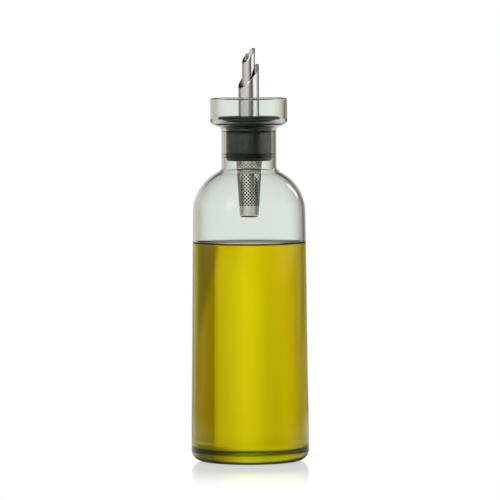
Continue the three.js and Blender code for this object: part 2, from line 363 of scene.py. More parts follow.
class Shading(Bench):
    """A material under construction, with its main shader."""

    def __init__(self, name: str) -> None:
        """Starts a material.

        Args:
            name: name of the material.
        """
        self.material = bpy.data.materials.new(name)
        self.material.use_nodes = True
        super().__init__(self.material.node_tree)
        self.shader = self.tree.nodes["Principled BSDF"]
        self.output = self.tree.nodes["Material Output"]

    def noise(self, scale: Triple, detail: float) -> bpy.types.NodeSocket:
        """Noise over the piece's own coordinates.

        Args:
            scale: features for each metre along X, Y and Z.
            detail: octaves of finer noise.

        Returns:
            The noise's value.
        """
        place = self.add("ShaderNodeTexCoord").outputs["Object"]
        mapping = self.feed(self.add("ShaderNodeMapping"), Vector=place, Scale=scale)
        texture = self.add("ShaderNodeTexNoise")
        self.feed(texture, Vector=mapping.outputs["Vector"], Scale=1.0, Detail=detail, Roughness=NOISE_ROUGHNESS)
        return texture.outputs["Fac"]

    def bump(self, height: bpy.types.NodeSocket, depth: float, strength: float) -> None:
        """Raises the surface by a value from 0 to 1 times a depth in metres, of which a share shows."""
        relief = self.feed(self.add("ShaderNodeBump"), Height=height, Distance=depth, Strength=strength)
        self.feed(self.shader, Normal=relief.outputs["Normal"])


@dataclass(frozen=True)
class ClearFinish:
    """Something clear that light passes through, tinted by its depth.

    Attributes:
        name: name of the material.
        ior: index of refraction.
        wetted_ior: change of index across the faces where glass and oil touch.
        colour: what a deep layer lets through.
        density: how soon the tint builds up, for each metre.
        glint: share of the plain reflection of its front.
        ripple: depth of the slow waves in the surface, in metres.
        waves: number of these waves for each metre along X, Y and Z.
        wave_detail: octaves of finer waves.
    """

    name: str
    ior: float
    wetted_ior: float
    colour: Colour
    density: float
    glint: float
    ripple: float
    waves: Triple = (35, 35, 12)
    wave_detail: float = 1.0

    def material(self) -> bpy.types.Material:
        """Builds the material.

        Returns:
            The material.
        """
        shading = Shading(self.name)
        tint = (self.glint, self.glint, self.glint, 1)
        wetted = shading.add("ShaderNodeAttribute", attribute_name=WETTED).outputs["Fac"]
        ior = shading.calc("MULTIPLY_ADD", wetted, self.wetted_ior - self.ior, self.ior)
        shading.feed(shading.shader, Base_Color=WHITE, Roughness=0.0, Transmission_Weight=1.0, Specular_Tint=tint)
        # The plain value stays on the socket for a tool that drops the link.
        for value in (self.ior, ior):
            shading.feed(shading.shader, IOR=value)
        absorption = shading.add("ShaderNodeVolumeAbsorption")
        shading.feed(absorption, Color=self.colour, Density=self.density)
        shading.feed(shading.output, Volume=absorption.outputs["Volume"])
        shading.bump(shading.noise(self.waves, self.wave_detail), self.ripple, 1.0)
        return shading.material


@dataclass(frozen=True)
class GrainedFinish:
    """A solid surface whose colour and polish vary with a fine grain.

    Attributes:
        name: name of the material.
        dark: colour in the hollows of the grain.
        light: colour on its tops.
        metallic: 1 for bare metal, 0 for plastic and silicone.
        polish: lowest and highest roughness.
        grain: features of the grain for each metre along X, Y and Z.
        depth: depth of the grain, in metres.
        gloss: strength of a plain surface's reflection, 0.5 for most plastics.
        detail: octaves of finer grain.
        relief: share of the grain's depth that shows.
    """

    name: str
    dark: Colour
    light: Colour
    metallic: float
    polish: Span
    grain: Triple
    depth: float
    gloss: float = 0.5
    detail: float = 3.0
    relief: float = 0.5

    def material(self) -> bpy.types.Material:
        """Builds the material.

        Returns:
            The material.
        """
        shading = Shading(self.name)
        grain = shading.noise(self.grain, self.detail)
        share, roughness = (shading.stretch(grain, NOISE_SPAN, target) for target in ((0.0, 1.0), self.polish))
        colour = shading.blend(share, self.dark, self.light)
        shading.feed(shading.shader, Base_Color=colour, Roughness=roughness)
        shading.feed(shading.shader, Metallic=self.metallic, Specular_IOR_Level=self.gloss)
        shading.bump(grain, self.depth, self.relief)
        return shading.material


CLEAR_GLASS = ClearFinish(
    name="clear_glass",
    ior=GLASS_IOR,
    wetted_ior=1.0,
    colour=(0.25, 0.55, 0.28, 1),
    density=60.0,
    glint=0.14,
    ripple=0.000008,
)
GREEN_GOLD_OIL = ClearFinish(
    name="green_gold_oil",
    ior=OIL_IOR,
    wetted_ior=OIL_IOR / GLASS_IOR,
    colour=(0.989, 0.965, 0.0, 1),
    density=150.0,
    glint=1.0,
    ripple=0.000005,
)
BLACK_PLASTIC = GrainedFinish(
    name="black_plastic",
    dark=(0.01, 0.01, 0.011, 1),
    light=(0.018, 0.018, 0.019, 1),
    metallic=0.0,
    polish=(0.24, 0.36),
    grain=(2500, 2500, 2500),
    depth=0.00001,
    gloss=0.8,
)
BLACK_SILICONE = GrainedFinish(
    name="black_silicone",
    dark=(0.008, 0.008, 0.008, 1),
    light=(0.014, 0.014, 0.014, 1),
    metallic=0.0,
    polish=(0.5, 0.65),
    grain=(1800, 1800, 1800),
    depth=0.00001,
)
POLISHED_STEEL = GrainedFinish(
    name="polished_steel",
    dark=(0.58, 0.565, 0.55, 1),
    light=(0.72, 0.705, 0.69, 1),
    metallic=1.0,
    polish=(0.06, 0.14),
    grain=(3500, 3500, 60),
    depth=0.000003,
)
SIEVE_STEEL = GrainedFinish(
    name="sieve_steel",
    dark=(0.76, 0.725, 0.67, 1),
    light=(0.9, 0.87, 0.81, 1),
    metallic=1.0,
    polish=(0.09, 0.17),
    grain=(2500, 2500, 120),
    depth=0.000006,
)
# Near-black metal painted on the sieve's inside and the walls of its holes: painted shade, where the same steel would
# only lie in shade.
SIEVE_PAINTED_SHADE = GrainedFinish(
    name="sieve_painted_shade",
    dark=(0.015, 0.014, 0.012, 1),
    light=(0.03, 0.028, 0.025, 1),
    metallic=1.0,
    polish=(0.4, 0.55),
    grain=(2500, 2500, 120),
    depth=0.000006,
)


@dataclass
class Bottle:
    """The glass bottle: foot, tapered side, round shoulder, neck and mouth cup in one wall, in millimetres."""

    base_radius: float
    rim_height: float
    bore_radius: float
    side_top_radius: float = 33.65
    side_top: float = 148.2
    shoulder_round: float = 28.0
    body_wall: float = 1.9
    base_thickness: float = 4.2
    foot_corner: float = 7.0
    floor_corner: float = 10.0
    recess_radius: float = 21.0
    recess_depth: float = 1.4
    recess_edge: float = 3.0
    recess_round: float = 1.5
    recess_slope: float = math.radians(70)
    neck_wall: float = 2.05
    neck_fillet: float = 4.0
    neck_length: float = 20.8
    flare_fillet: float = 2.5
    cup_slope: float = math.radians(22)
    cup_corner: float = 3.0
    cup_wall: float = 1.9
    cup_shelf: float = 6.75
    cup_floor_corner: float = 2.2
    rim_round: float = 1.0
    facing_up: float = 0.5

    @classmethod
    def from_frame(cls) -> Bottle:
        """Takes the bottle's main sizes from its solid and from the seal that fits its bore.

        Returns:
            The bottle.
        """
        low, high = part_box("glass_bottle")
        seal_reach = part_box("lower_lip_seal")[1].x / MM
        return cls((high.x - low.x) / 2 / MM, high.z / MM, seal_reach + SEAL_GAP)

    @property
    def inner_foot(self) -> Round:
        """The round between the inner side and the floor."""
        radius = self.base_radius - self.body_wall - self.floor_corner
        return Round(radius, self.base_thickness + self.floor_corner, self.floor_corner)

    @property
    def outer_shoulder(self) -> Round:
        """The outside of the shoulder."""
        return Round(self.side_top_radius - self.shoulder_round, self.side_top, self.shoulder_round)

    @property
    def inner_shoulder(self) -> Round:
        """The inside of the shoulder."""
        return self.outer_shoulder._replace(size=self.shoulder_round - self.body_wall)

    @property
    def neck_radius(self) -> float:
        """Outer radius of the neck."""
        return self.bore_radius + self.neck_wall

    @property
    def outer_hollow(self) -> tuple[Round, float]:
        """The outer hollow under the neck, and the angle at which it leaves the shoulder."""
        return neck_hollow(self.outer_shoulder, self.neck_radius, self.neck_fillet)

    @property
    def flare(self) -> Round:
        """The round from the neck's outside to the cup's underside."""
        neck_top = self.outer_hollow[0].height + self.neck_length
        return Round(self.neck_radius + self.flare_fillet, neck_top, self.flare_fillet)

    def rim(self, middle: float) -> Round:
        """One half of the rim's round, by the radius of its middle."""
        return Round(middle, self.rim_height - self.rim_round, self.rim_round)

    def outside(self) -> Profile:
        """The profile from the middle of the underside up to the top of the rim.

        Returns:
            The points.
        """
        slope = self.cup_slope
        foot = Round(self.base_radius - self.foot_corner, self.foot_corner, self.foot_corner)
        hollow, hollow_angle = self.outer_hollow
        cup = self.bore_radius + self.cup_shelf + self.cup_wall
        rounds = self.cup_corner + self.flare_fillet
        underside = cup - self.neck_radius - rounds * (1 - math.sin(slope))
        corner_height = self.flare.height + rounds * math.cos(slope) + underside * math.tan(slope)
        corner = Round(cup - self.cup_corner, corner_height, self.cup_corner)
        side = tangent_angle(foot, self.outer_shoulder)
        recess = Round(self.recess_radius - self.recess_edge, self.recess_depth - self.recess_round, self.recess_round)
        return [
            ProfilePoint(0, self.recess_depth),
            *arc(recess, QUARTER, self.recess_slope, step=10),
            ProfilePoint(self.recess_radius, 0),
            *arc(foot, -QUARTER, side, step=3),
            *arc(self.outer_shoulder, side, hollow_angle, step=2),
            *arc(hollow, hollow_angle + math.pi, math.pi, step=4),
            *arc(self.flare, math.pi, QUARTER + slope, step=5),
            *arc(corner, slope - QUARTER, 0, step=5),
            *arc(self.rim(cup - self.rim_round), 0, QUARTER, step=8),
        ]

    def inside(self, wet_height: float) -> Profile:
        """The profile from the top of the rim, past the edge of the filling, down to the middle of the floor.

        Args:
            wet_height: height of the filling's edge.

        Returns:
            The points.
        """
        slope = self.cup_slope
        cup = self.bore_radius + self.cup_shelf
        throat = self.flare._replace(size=self.flare_fillet + self.neck_wall)
        floor_edge = throat.at(QUARTER + slope)
        corner_rise = self.cup_floor_corner * math.tan((QUARTER - slope) / 2)
        floor_rise = (cup - floor_edge.radius) * math.tan(slope)
        corner_height = floor_edge.height + floor_rise + corner_rise
        corner = Round(cup - self.cup_floor_corner, corner_height, self.cup_floor_corner)
        hollow, angle = neck_hollow(self.inner_shoulder, self.bore_radius, self.neck_fillet + self.neck_wall)
        side = tangent_angle(self.inner_foot, self.inner_shoulder)
        return [
            *arc(self.rim(cup + self.rim_round), QUARTER, math.pi, step=8),
            *arc(corner, 0, slope - QUARTER, step=6),
            *arc(throat, QUARTER + slope, math.pi, step=4),
            *arc(hollow, math.pi, angle + math.pi, step=4),
            *arc(self.inner_shoulder, angle, side, step=2),
            ProfilePoint(self.inner_radius(wet_height), wet_height),
            *arc(self.inner_foot, side, -QUARTER, step=3),
            ProfilePoint(0, self.base_thickness),
        ]

    def inner_radius(self, height: float) -> float:
        """Radius of the inner side at a height between the floor's round and the shoulder.

        Args:
            height: the height.

        Returns:
            The radius.
        """
        side = tangent_angle(self.inner_foot, self.inner_shoulder)
        low, high = self.inner_foot.at(side), self.inner_shoulder.at(side)
        share = (height - low.height) / (high.height - low.height)
        return low.radius + (high.radius - low.radius) * share

    def build(self, glass: bpy.types.Material, wet_height: float) -> bpy.types.Object:
        """Builds the bottle in place of its solid.

        Args:
            glass: the bottle's material.
            wet_height: height up to which the filling touches the glass, in millimetres.

        Returns:
            The bottle.
        """
        piece = turned("bottle_glass", self.outside() + self.inside(wet_height), Fineness.GLASS)
        dress(piece, glass)

        def touches(face: bpy.types.MeshPolygon) -> bool:
            """Whether a face looks inwards or up, below the edge of the filling."""
            inwards = face.normal.x * face.center.x + face.normal.y * face.center.y < 0
            return face.center.z < wet_height * MM and (inwards or face.normal.z > self.facing_up)

        mark_wetted(piece, touches)
        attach(piece, "bottle")
        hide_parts("glass_bottle")
        return piece


@dataclass
class OilFill:
    """The oil in the bottle, up to its level and a little up the glass at its edge, in millimetres."""

    bottle: Bottle
    level: float = 129.8
    capillary_length: float = 1.6
    wall_slope: float = math.radians(62)
    overlap: float = 0.05
    flat_points: int = 8
    rise_points: int = 24
    facing_up: float = 0.35

    @property
    def edge_height(self) -> float:
        """Height up to which the oil touches the glass."""
        return self.level + self.climb(self.wall_slope)

    def climb(self, slope: float) -> float:
        """How high the surface has risen where it has a slope."""
        return 2 * self.capillary_length * math.sin(slope / 2)

    def approach(self, slope: float) -> float:
        """How far along its way to the glass the surface has a slope."""
        return self.capillary_length * (math.log(math.tan(slope / 4)) + 2 * math.cos(slope / 2))

    def surface(self) -> Profile:
        """The surface from its middle outwards, drawn up the glass as a liquid that wets it.

        Returns:
            The points.
        """
        edge = self.bottle.inner_radius(self.edge_height)
        start = edge - self.approach(self.wall_slope)
        slopes = [self.wall_slope * (i / self.rise_points) ** 2 for i in range(1, self.rise_points + 1)]
        rise = [ProfilePoint(start + self.approach(slope), self.level + self.climb(slope)) for slope in slopes]
        flat = [ProfilePoint(rise[0].radius * i / self.flat_points, self.level) for i in range(self.flat_points)]
        return [*flat, *rise, ProfilePoint(edge + self.overlap, self.edge_height)]

    def profile(self) -> Profile:
        """The profile from the middle of the floor, up the side and back along the surface.

        Returns:
            The points.
        """
        foot = self.bottle.inner_foot
        side = tangent_angle(foot, self.bottle.inner_shoulder)
        wide = foot._replace(size=foot.size + self.overlap)
        return [
            ProfilePoint(0, self.bottle.base_thickness - self.overlap),
            *arc(wide, -QUARTER, side, step=3),
            *reversed(self.surface()),
        ]

    def build(self, oil: bpy.types.Material) -> bpy.types.Object:
        """Builds the oil, which goes where the bottle goes.

        Args:
            oil: the oil's material.

        Returns:
            The oil.
        """
        piece = turned("oil_fill", self.profile(), Fineness.GLASS)
        dress(piece, oil)
        mark_wetted(piece, lambda face: face.normal.z < self.facing_up)
        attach(piece, "bottle")
        return piece


@dataclass
class LipSeal:
    """A seal ring with thin lips that press on the glass, in millimetres."""

    node: str
    inner: float
    reach: float
    bottom: float
    top: float
    lips: int
    plug_radius: float
    margin: float = 0.35
    root: float = 0.7
    tip_round: float = 0.2
    press: float = 0.23

    @classmethod
    def from_frame(cls, node: str, lips: int, plug_radius: float) -> LipSeal:
        """Takes a seal's sizes from its solid.

        Args:
            node: name of the solid.
            lips: number of lips.
            plug_radius: radius of the plug's side, where the lips start.

        Returns:
            The seal.
        """
        low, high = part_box(node)
        inner = plug_radius - (GROOVE_DEPTH - GROOVE_GAP)
        return cls(node, inner, high.x / MM, low.z / MM, high.z / MM, lips, plug_radius)

    def profile(self) -> Profile:
        """The closed profile: a foot, and lips that thin out towards the bore.

        Returns:
            The points.
        """
        room = self.top - self.bottom - 2 * self.margin - self.root
        pitch = room / max(1, self.lips - 1)
        points = [ProfilePoint(self.inner, self.bottom), ProfilePoint(self.plug_radius, self.bottom)]
        for i in range(self.lips):
            height = self.bottom + self.margin + self.root / 2 + i * pitch
            tip = Round(self.reach + self.press - self.tip_round, height, self.tip_round)
            points += [
                ProfilePoint(self.plug_radius, height - self.root / 2),
                *arc(tip, -QUARTER, QUARTER, step=30),
                ProfilePoint(self.plug_radius, height + self.root / 2),
            ]
        return points + [ProfilePoint(self.plug_radius, self.top), ProfilePoint(self.inner, self.top)]

    def build(self, silicone: bpy.types.Material) -> bpy.types.Object:
        """Builds the seal in place of its solid.

        Args:
            silicone: the seal's material.

        Returns:
            The seal.
        """
        piece = turned(f"{self.node}_ring", self.profile(), Fineness.STOPPER, ring=True)
        dress(piece, silicone)
        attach(piece, "seals")
        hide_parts(self.node)
        return piece


@dataclass
class Stopper:
    """The stopper: a plug with two seal grooves under a shallow dish, in millimetres."""

    bottom: float
    top: float
    dish_radius: float
    plug_bore: float
    tube_hole: float
    grooves: tuple[Span, ...]
    groove_wall: float = 2.95
    corner: float = 1.2
    seat_ring: float = 1.65
    dish_rise: float = 5.8
    dish_slope: float = math.radians(32)
    dish_edge: float = 1.6
    dish_sink: float = 1.2
    dish_web: float = 1.8
    dish_flat: float = 2.0
    dish_points: int = 12
    small_round: float = 0.3
    edge_ease: float = 0.12

    @classmethod
    def from_frame(cls) -> Stopper:
        """Takes the stopper's sizes from its solid and from the pieces that fit it.

        Returns:
            The stopper.
        """
        low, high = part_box("stopper_body")
        carrier, tube = (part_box(node)[1].x / MM for node in ("tube_carrier", "drip_tube"))
        seals = [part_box(node) for node in ("lower_lip_seal", "upper_lip_seal")]
        grooves = tuple((under.z / MM - GROOVE_GAP, over.z / MM + GROOVE_GAP) for under, over in seals)
        return cls(low.z / MM, high.z / MM, high.x / MM, carrier + FIT_GAP, tube + FIT_GAP, grooves)

    @property
    def groove_radius(self) -> float:
        """Radius of the grooves' floor."""
        return self.plug_bore + self.groove_wall

    @property
    def plug_radius(self) -> float:
        """Radius of the plug's side."""
        return self.groove_radius + GROOVE_DEPTH

    def groove(self, low: float, high: float) -> Profile:
        """A groove with eased edges, in a profile that runs up the plug's side.

        Args:
            low: height of its lower edge.
            high: height of its upper edge.

        Returns:
            The points.
        """
        outer, ease = self.plug_radius, self.edge_ease
        return [
            *arc(Round(outer - ease, low - ease, ease), 0, QUARTER, step=30),
            ProfilePoint(self.groove_radius, low),
            ProfilePoint(self.groove_radius, high),
            *arc(Round(outer - ease, high + ease, ease), -QUARTER, 0, step=30),
        ]

    def profile(self) -> Profile:
        """The closed profile, from the underside up the plug and round the dish to the tubes' hole.

        Returns:
            The points.
        """
        slope, edge, small = self.dish_slope, self.dish_edge, self.small_round
        rim = Round(self.dish_radius - edge, self.top - edge, edge)
        under = rim.at(slope - QUARTER)
        foot = Round(self.plug_radius - self.corner, self.bottom + self.corner, self.corner)
        seat, seat_height = self.plug_radius + self.seat_ring, self.top - self.dish_rise
        cone_bottom = under.height - (under.radius - seat) * math.tan(slope)
        hollow = self.top - self.dish_sink
        bowl = self.tube_hole + self.dish_flat
        dish = []
        for i in range(1, self.dish_points + 1):
            share = i / self.dish_points
            dip = self.dish_sink * (1 - math.cos(math.pi * share)) / 2
            dish.append(ProfilePoint(rim.radius + (bowl - rim.radius) * share, self.top - dip))
        return [
            ProfilePoint(self.plug_bore, self.bottom),
            *arc(foot, -QUARTER, 0, step=9),
            *(point for span in self.grooves for point in self.groove(*span)),
            ProfilePoint(self.plug_radius, seat_height),
            *arc(Round(seat - small, seat_height + small, small), -QUARTER, 0, step=15),
            ProfilePoint(seat, cone_bottom),
            *arc(rim, slope - QUARTER, QUARTER, step=12),
            *dish,
            *arc(Round(self.tube_hole + small, hollow - small, small), QUARTER, math.pi, step=30),
            ProfilePoint(self.tube_hole, hollow - self.dish_web),
            ProfilePoint(self.plug_bore, hollow - self.dish_web),
        ]

    def build(self, plastic: bpy.types.Material) -> bpy.types.Object:
        """Builds the stopper in place of its solid, and dresses the carrier inside it.

        Args:
            plastic: the stopper's material.

        Returns:
            The stopper.
        """
        piece = turned("stopper_plug", self.profile(), Fineness.STOPPER, ring=True)
        dress(piece, plastic)
        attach(piece, "stopper")
        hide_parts("stopper_body")
        for material_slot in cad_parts["tube_carrier"].material_slots:
            material_slot.material = plastic
        return piece


@dataclass
class SlantedTube:
    """A steel tube whose mouth is cut at a slant and rounded over, in millimetres."""

    node: str
    radius: float
    bottom: float
    tip: float
    wall: float = 0.5
    slant: float = math.tan(math.radians(49))
    lip_points: int = 6
    slanted_sides: tuple[float, ...] = (2.0, 0.6)

    @classmethod
    def from_frame(cls, node: str) -> SlantedTube:
        """Takes a tube's sizes from its solid."""
        low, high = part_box(node)
        return cls(node, high.x / MM, low.z / MM, high.z / MM)

    def profile(self) -> Profile:
        """The closed profile, with the mouth's points rising along the slant.

        Returns:
            The points.
        """
        outer, inner = self.radius, self.radius - self.wall
        lip = self.wall / 2
        mouth = self.tip - outer * self.slant
        fall = lip * math.hypot(1, self.slant)
        heights = [mouth - fall * depth for depth in self.slanted_sides]
        angles = [math.pi * i / self.lip_points for i in range(self.lip_points + 1)]
        mouth_points = [
            *((outer, height) for height in heights),
            *((outer - lip + lip * math.cos(a), mouth - fall + fall * math.sin(a)) for a in angles),
            *((inner, height) for height in reversed(heights)),
        ]
        ends = [ProfilePoint(radius, self.bottom) for radius in (inner, outer)]
        return ends + [ProfilePoint(radius, height, self.slant) for radius, height in mouth_points]

    def build(self, steel: bpy.types.Material) -> bpy.types.Object:
        """Builds the tube in place of its solid.

        Args:
            steel: the tube's material.

        Returns:
            The tube.
        """
        piece = turned(f"{self.node}_steel", self.profile(), Fineness.TUBE, ring=True)
        dress(piece, steel)
        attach(piece, "stopper")
        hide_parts(self.node)
        return piece


class FieldTree(Bench):
    """A geometry node tree under construction, with a geometry in and a geometry out."""

    def __init__(self, name: str) -> None:
        """Starts a tree.

        Args:
            name: name of the tree.
        """
        super().__init__(bpy.data.node_groups.new(name, "GeometryNodeTree"))
        for way in ("INPUT", "OUTPUT"):
            self.tree.interface.new_socket("Geometry", in_out=way, socket_type="NodeSocketGeometry")
        self.source = self.add("NodeGroupInput")
        self.target = self.add("NodeGroupOutput")
        self.identifiers: dict[str, str] = {}

    def size(self, name: str, kind: str = "NodeSocketFloat") -> bpy.types.NodeSocket:
        """Adds a named input for a size.

        Args:
            name: name of the input.
            kind: type of its socket.

        Returns:
            The socket that gives the size inside the tree.
        """
        item = self.tree.interface.new_socket(name, in_out="INPUT", socket_type=kind)
        self.identifiers[name] = item.identifier
        return next(socket for socket in self.source.outputs if socket.identifier == item.identifier)


@dataclass
class Sieve:
    """The sieve: a collar in the stopper, and a tapered wall pierced by staggered rows of holes, in millimetres."""

    radius: float
    bottom: float
    top: float
    stopper_bottom: float
    end_radius: float = 5.6
    wall: float = 0.45
    corner: float = 1.3
    blank_top: float = 1.2
    blank_end: float = 6.6
    row_pitch: float = 1.05
    holes_per_row: int = 20
    hole_radius: float = 0.55
    hole_end_radius: float = 0.24
    hole_sides: int = 10
    drill_margin: float = 0.1
    # Faces that face outwards less than this get the near-black painted shade.
    facing_out: float = 0.8

    @classmethod
    def from_frame(cls) -> Sieve:
        """Takes the sieve's sizes from its solid and from the stopper that holds it."""
        low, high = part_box("sieve")
        return cls(high.x / MM, low.z / MM, high.z / MM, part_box("stopper_body")[0].z / MM)

    def radius_at(self, height: float) -> float:
        """Outer radius of the taper at a height."""
        share = (height - self.bottom) / (self.stopper_bottom - self.bottom)
        return self.end_radius + (self.radius - self.end_radius) * share

    def profile(self) -> Profile:
        """The profile from the middle of the bottom, up the outside and down the inside.

        Returns:
            The points.
        """
        height = self.bottom + self.corner
        centre = self.radius_at(height) - self.corner
        inner = self.radius - self.wall
        return [
            ProfilePoint(0, self.bottom),
            *arc(Round(centre, height, self.corner), -QUARTER, 0, step=10),
            ProfilePoint(self.radius, self.stopper_bottom),
            ProfilePoint(self.radius, self.top),
            ProfilePoint(inner, self.top),
            ProfilePoint(inner, self.stopper_bottom),
            *arc(Round(centre, height, self.corner - self.wall), 0, -QUARTER, step=10),
            ProfilePoint(0, self.bottom + self.wall),
        ]

    def perforation(self, steel: bpy.types.Material) -> FieldTree:
        """Builds the tree that drills the rows of holes through a sieve's wall.

        Args:
            steel: the sieve's material.

        Returns:
            The tree, with an input for each size.
        """
        tree = FieldTree("sieve_perforation")
        rows, across = tree.size("Rows", "NodeSocketInt"), tree.size("Holes per Row", "NodeSocketInt")
        first, pitch = tree.size("First Row Height"), tree.size("Row Pitch")
        start = tree.size("First Hole Turn")
        low_height, low_radius = tree.size("Low Height"), tree.size("Low Radius")
        spread = tree.size("Radius for each Height")
        mouth, end, depth = tree.size("Drill Mouth"), tree.size("Drill End"), tree.size("Drill Length")
        index = tree.add("GeometryNodeInputIndex").outputs["Index"]
        row = tree.calc("FLOOR", tree.calc("DIVIDE", tree.calc("ADD", index, 0.5), across))
        column = tree.calc("SUBTRACT", index, tree.calc("MULTIPLY", row, across))
        stagger = tree.calc("MULTIPLY", tree.calc("MODULO", row, 2.0), 0.5)
        turn = tree.calc("DIVIDE", tree.calc("MULTIPLY", tree.calc("ADD", column, stagger), math.tau), across)
        turn = tree.calc("ADD", turn, start)
        height = tree.calc("SUBTRACT", first, tree.calc("MULTIPLY", row, pitch))
        radius = tree.calc("ADD", low_radius, tree.calc("MULTIPLY", tree.calc("SUBTRACT", height, low_height), spread))
        place = tree.feed(
            tree.add("ShaderNodeCombineXYZ"),
            X=tree.calc("MULTIPLY", radius, tree.calc("COSINE", turn)),
            Y=tree.calc("MULTIPLY", radius, tree.calc("SINE", turn)),
            Z=height,
        )
        points = tree.feed(
            tree.add("GeometryNodePoints"),
            Count=tree.calc("MULTIPLY", rows, across),
            Position=place.outputs["Vector"],
        )
        drill = tree.add("GeometryNodeMeshCone")
        tree.feed(drill, Vertices=self.hole_sides, Radius_Top=mouth, Radius_Bottom=end, Depth=depth)
        aim = tree.feed(tree.add("ShaderNodeCombineXYZ"), Y=QUARTER, Z=turn)
        drills = tree.feed(
            tree.add("GeometryNodeInstanceOnPoints"),
            Points=points.outputs[0],
            Instance=drill.outputs["Mesh"],
            Rotation=aim.outputs["Vector"],
        )
        solid = tree.feed(tree.add("GeometryNodeRealizeInstances"), Geometry=drills.outputs["Instances"])
        pierce = tree.add("GeometryNodeMeshBoolean", operation="DIFFERENCE", solver="EXACT")
        tree.feed(pierce, Mesh_1=tree.source.outputs["Geometry"], Mesh_2=solid.outputs["Geometry"])
        whole = tree.feed(tree.add("GeometryNodeRealizeInstances"), Geometry=pierce.outputs["Mesh"])
        coat = tree.add("GeometryNodeSetMaterial")
        tree.feed(coat, Geometry=whole.outputs["Geometry"], Material=steel)
        tree.feed(tree.target, Geometry=coat.outputs["Geometry"])
        return tree

    def paint_shade_inside(self, piece: bpy.types.Object, painted_shade: bpy.types.Material) -> None:
        """Paints the walls of the holes and the inside near black, as painted shade.

        Args:
            piece: the pierced sieve.
            painted_shade: the near-black material of the painted shade.
        """
        piece.data.materials.append(painted_shade)
        # Faces above the bottom that don't face outwards get the near-black painted shade.
        lowest = (self.bottom + self.wall / 2) * MM
        for face in piece.data.polygons:
            out = face.center.xy.normalized()
            if face.center.z > lowest and face.normal.xy.dot(out) < self.facing_out:
                face.material_index = 1

    def build(self, steel: bpy.types.Material, painted_shade: bpy.types.Material) -> bpy.types.Object:
        """Builds the sieve in place of its solid.

        Args:
            steel: the material of its outside.
            painted_shade: the near-black material painted on its inside and the walls of its holes, as painted shade.

        Returns:
            The sieve.
        """
        blank = turned("sieve_blank", self.profile(), Fineness.SIEVE)
        tree = self.perforation(steel)
        first = self.stopper_bottom - self.blank_top
        last = self.bottom + self.blank_end
        margin = self.drill_margin
        widening = (self.hole_radius - self.hole_end_radius) / self.wall
        sizes = {
            "Rows": math.floor((first - last) / self.row_pitch) + 1,
            "Holes per Row": self.holes_per_row,
            "First Row Height": first * MM,
            "First Hole Turn": math.pi / Fineness.SIEVE.value,
            "Row Pitch": self.row_pitch * MM,
            "Low Height": self.bottom * MM,
            "Low Radius": (self.end_radius - self.wall - margin) * MM,
            "Radius for each Height": (self.radius - self.end_radius) / (self.stopper_bottom - self.bottom),
            "Drill Mouth": (self.hole_radius + widening * margin) * MM,
            "Drill End": (self.hole_end_radius - widening * margin) * MM,
            "Drill Length": (self.wall + 2 * margin) * MM,
        }
        modifier = blank.modifiers.new("perforation", "NODES")
        modifier.node_group = tree.tree
        for name, value in sizes.items():
            modifier[tree.identifiers[name]] = value
        evaluated = blank.evaluated_get(bpy.context.evaluated_depsgraph_get())
        mesh = bpy.data.meshes.new_from_object(evaluated)
        blank.modifiers.remove(modifier)
        bpy.data.objects.remove(blank)
        piece = placed("sieve_steel", mesh)
        dress(piece, steel)
        # The inside and the walls of the holes get near-black painted shade.
        self.paint_shade_inside(piece, painted_shade)
        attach(piece, "sieve")
        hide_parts("sieve")
        log.info("sieve has %d rows of %d holes", sizes["Rows"], self.holes_per_row)
        return piece


class Lamp(NamedTuple):
    """A soft lamp, placed by its direction from the bottle as the camera sees it.

    Attributes:
        name: name of the lamp.
        bearing: degrees to the right of the camera, seen from the bottle.
        height: degrees above the horizon.
        distance: metres from the bottle.
        size: metres across and high.
        power: watts.
    """

    name: str
    bearing: float
    height: float
    distance: float
    size: Span
    power: float


class Surface(NamedTuple):
    """What the bottle sees of the studio in one direction along the horizon.

    Attributes:
        bearing: degrees to the right of straight behind the bottle.
        level: brightness.
        warmth: share of the green that a warm surface takes away.
    """

    bearing: float
    level: float
    warmth: float = 0.0

    @property
    def colour(self) -> Colour:
        """Its colour, as bright as it is."""
        return (self.level, self.level * (1 - self.warmth), self.level * (1 - BLUE_LOSS * self.warmth), 1)


class TableEdge(NamedTuple):
    """How far below the horizon the table ends in one direction.

    Attributes:
        bearing: degrees to the right of straight behind the bottle.
        drop: degrees below the horizon, at most DEEPEST.
    """

    bearing: float
    drop: float

    @property
    def colour(self) -> Colour:
        """The drop as a grey, for a ramp."""
        return (*[self.drop / DEEPEST] * 3, 1)


class Panel(NamedTuple):
    """A panel of light with soft edges, in degrees as the bottle sees it.

    Attributes:
        bearing: degrees to the right of straight behind the bottle.
        height: degrees above the horizon.
        half_width: from its middle to the middle of its soft side edge.
        half_height: from its middle to the middle of its soft top edge.
        softness: half the width of its edges.
        level: brightness.
    """

    bearing: float
    height: float
    half_width: float
    half_height: float
    softness: float
    level: float


